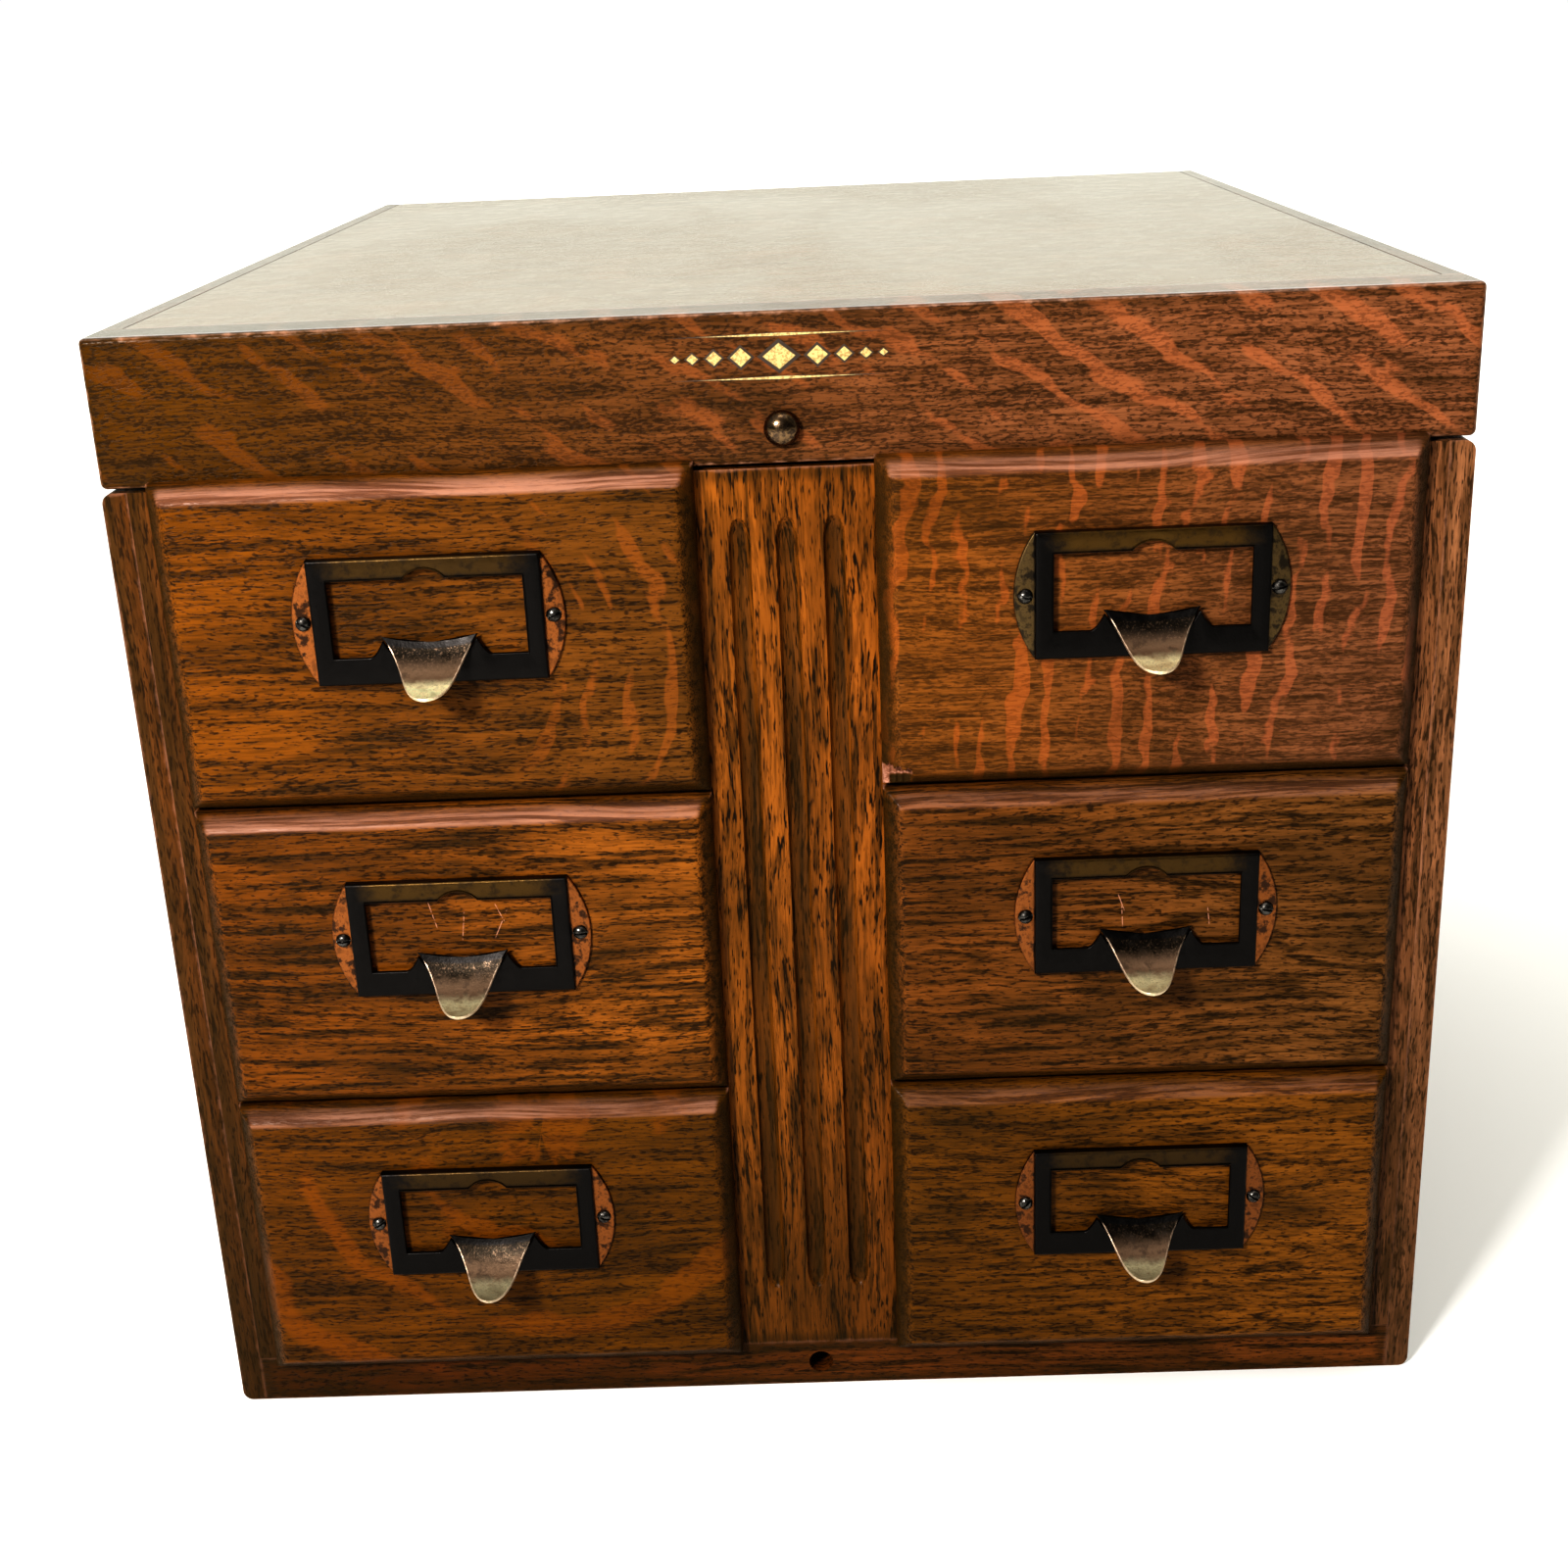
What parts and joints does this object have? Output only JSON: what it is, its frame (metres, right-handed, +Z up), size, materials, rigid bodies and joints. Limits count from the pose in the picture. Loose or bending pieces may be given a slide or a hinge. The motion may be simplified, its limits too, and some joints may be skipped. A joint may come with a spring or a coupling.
{
  "type": "card catalog cabinet",
  "caption": "Table-top oak card catalog cabinet: lipped card drawers with label-holder pulls, sliding card followers and a pin-locked cap.",
  "frame": {"origin": "centre of the base face, on the surface that the cabinet stands on", "axes": "+Z up, -Y out of the drawer fronts, +X to the right of someone facing the drawers"},
  "size_m": [0.419, 0.5121, 0.38],
  "materials": {
    "case_oak": "varnished fumed oak",
    "front_oak": "varnished fumed oak",
    "inner_wood": "plain planed wood",
    "tray_wood": "waxed planed wood",
    "pull_metal": "worn dark patina",
    "screw_steel": "dulled",
    "pin_brass": "dark patina"
  },
  "bodies": {
    "case": {"left_side_panel": "case_oak", "right_side_panel": "case_oak", "left_carcass_side": "case_oak", "right_carcass_side": "case_oak", "centre_partitions": "inner_wood", "drawer_shelves": "inner_wood", "case_top_panel": "inner_wood", "back_panel": "inner_wood", "centre_stile": "case_oak", "bottom_rail": "case_oak", "bottom_board": "inner_wood", "cap_front_fascia": "case_oak", "cap_left_rail": "case_oak", "cap_right_rail": "case_oak", "cap_back_rail": "inner_wood", "cap_top_panel": "case_oak", "pin_keeper": "inner_wood"},
    "locking_pin": {"cap_locking_pin": "pin_brass"},
    "lower_left_drawer": {"lower_left_front": "front_oak", "lower_left_sides": "tray_wood", "lower_left_back": "tray_wood", "lower_left_bottom": "tray_wood", "lower_left_pull": "pull_metal", "lower_left_pull_screws": "screw_steel"},
    "lower_left_follower_block": {"lower_left_follower": "tray_wood"},
    "lower_right_drawer": {"lower_right_front": "front_oak", "lower_right_sides": "tray_wood", "lower_right_back": "tray_wood", "lower_right_bottom": "tray_wood", "lower_right_pull": "pull_metal", "lower_right_pull_screws": "screw_steel"},
    "lower_right_follower_block": {"lower_right_follower": "tray_wood"},
    "middle_left_drawer": {"middle_left_front": "front_oak", "middle_left_sides": "tray_wood", "middle_left_back": "tray_wood", "middle_left_bottom": "tray_wood", "middle_left_pull": "pull_metal", "middle_left_pull_screws": "screw_steel"},
    "middle_left_follower_block": {"middle_left_follower": "tray_wood"},
    "middle_right_drawer": {"middle_right_front": "front_oak", "middle_right_sides": "tray_wood", "middle_right_back": "tray_wood", "middle_right_bottom": "tray_wood", "middle_right_pull": "pull_metal", "middle_right_pull_screws": "screw_steel"},
    "middle_right_follower_block": {"middle_right_follower": "tray_wood"},
    "upper_left_drawer": {"upper_left_front": "front_oak", "upper_left_sides": "tray_wood", "upper_left_back": "tray_wood", "upper_left_bottom": "tray_wood", "upper_left_pull": "pull_metal", "upper_left_pull_screws": "screw_steel"},
    "upper_left_follower_block": {"upper_left_follower": "tray_wood"},
    "upper_right_drawer": {"upper_right_front": "front_oak", "upper_right_sides": "tray_wood", "upper_right_back": "tray_wood", "upper_right_bottom": "tray_wood", "upper_right_pull": "pull_metal", "upper_right_pull_screws": "screw_steel"},
    "upper_right_follower_block": {"upper_right_follower": "tray_wood"}
  },
  "joints": [
    {"name": "locking_pin_pull", "type": "slide", "parent": "case", "child": "locking_pin", "axis": [0, -1, 0], "range_m": [0, 0.014]},
    {"name": "lower_left_drawer_slide", "type": "slide", "parent": "case", "child": "lower_left_drawer", "axis": [0, -1, 0], "range_m": [0, 0.38]},
    {"name": "lower_left_follower_slide", "type": "slide", "parent": "lower_left_drawer", "child": "lower_left_follower_block", "axis": [0, -1, 0], "range_m": [0, 0.34]},
    {"name": "lower_right_drawer_slide", "type": "slide", "parent": "case", "child": "lower_right_drawer", "axis": [0, -1, 0], "range_m": [0, 0.38]},
    {"name": "lower_right_follower_slide", "type": "slide", "parent": "lower_right_drawer", "child": "lower_right_follower_block", "axis": [0, -1, 0], "range_m": [0, 0.34]},
    {"name": "middle_left_drawer_slide", "type": "slide", "parent": "case", "child": "middle_left_drawer", "axis": [0, -1, 0], "range_m": [0, 0.38]},
    {"name": "middle_left_follower_slide", "type": "slide", "parent": "middle_left_drawer", "child": "middle_left_follower_block", "axis": [0, -1, 0], "range_m": [0, 0.34]},
    {"name": "middle_right_drawer_slide", "type": "slide", "parent": "case", "child": "middle_right_drawer", "axis": [0, -1, 0], "range_m": [0, 0.38]},
    {"name": "middle_right_follower_slide", "type": "slide", "parent": "middle_right_drawer", "child": "middle_right_follower_block", "axis": [0, -1, 0], "range_m": [0, 0.34]},
    {"name": "upper_left_drawer_slide", "type": "slide", "parent": "case", "child": "upper_left_drawer", "axis": [0, -1, 0], "range_m": [0, 0.38]},
    {"name": "upper_left_follower_slide", "type": "slide", "parent": "upper_left_drawer", "child": "upper_left_follower_block", "axis": [0, -1, 0], "range_m": [0, 0.34]},
    {"name": "upper_right_drawer_slide", "type": "slide", "parent": "case", "child": "upper_right_drawer", "axis": [0, -1, 0], "range_m": [0, 0.38]},
    {"name": "upper_right_follower_slide", "type": "slide", "parent": "upper_right_drawer", "child": "upper_right_follower_block", "axis": [0, -1, 0], "range_m": [0, 0.34]}
  ]
}
